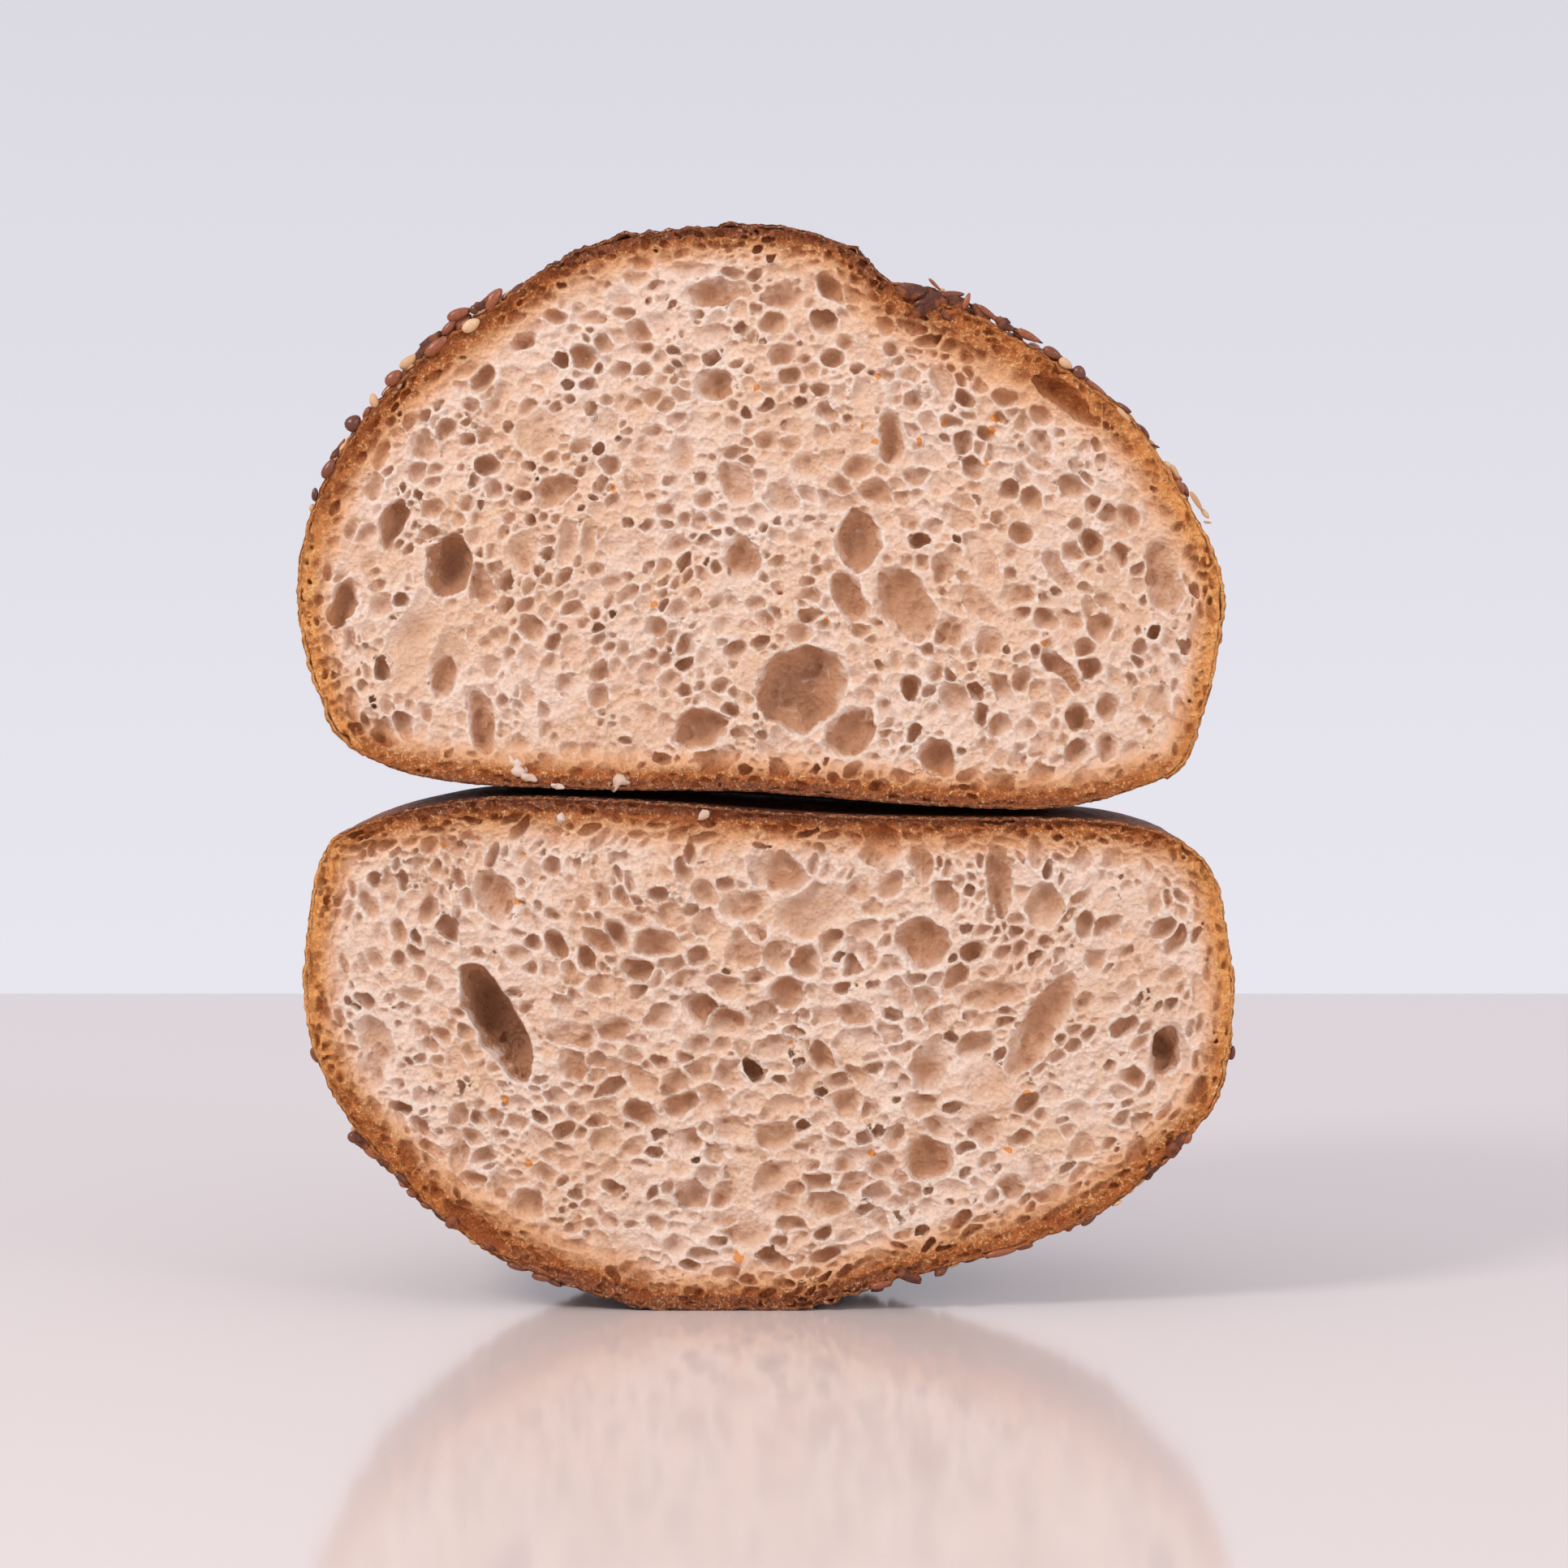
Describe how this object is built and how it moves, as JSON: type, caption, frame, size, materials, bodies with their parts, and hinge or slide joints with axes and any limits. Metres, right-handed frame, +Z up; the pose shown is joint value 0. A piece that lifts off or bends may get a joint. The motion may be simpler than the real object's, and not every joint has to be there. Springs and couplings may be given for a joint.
{
  "type": "split sourdough loaf",
  "caption": "Seeded sourdough loaf cut in half, its halves stacked sole to sole with both open-crumbed cut faces to the front.",
  "frame": {"origin": "on the resting surface, under the middle of the stack's bounding box", "axes": "+Z up through both halves; -Y out of the two cut faces; +X to the right when the cut faces are seen from the front"},
  "size_m": [0.2021, 0.112, 0.2344],
  "materials": {
    "crust": "satin",
    "crumb": "matte",
    "dark_seeds": "satin",
    "pale_seeds": "satin"
  },
  "bodies": {
    "root": {"upper_half": "crust", "lower_half": "crust"}
  },
  "joints": []
}
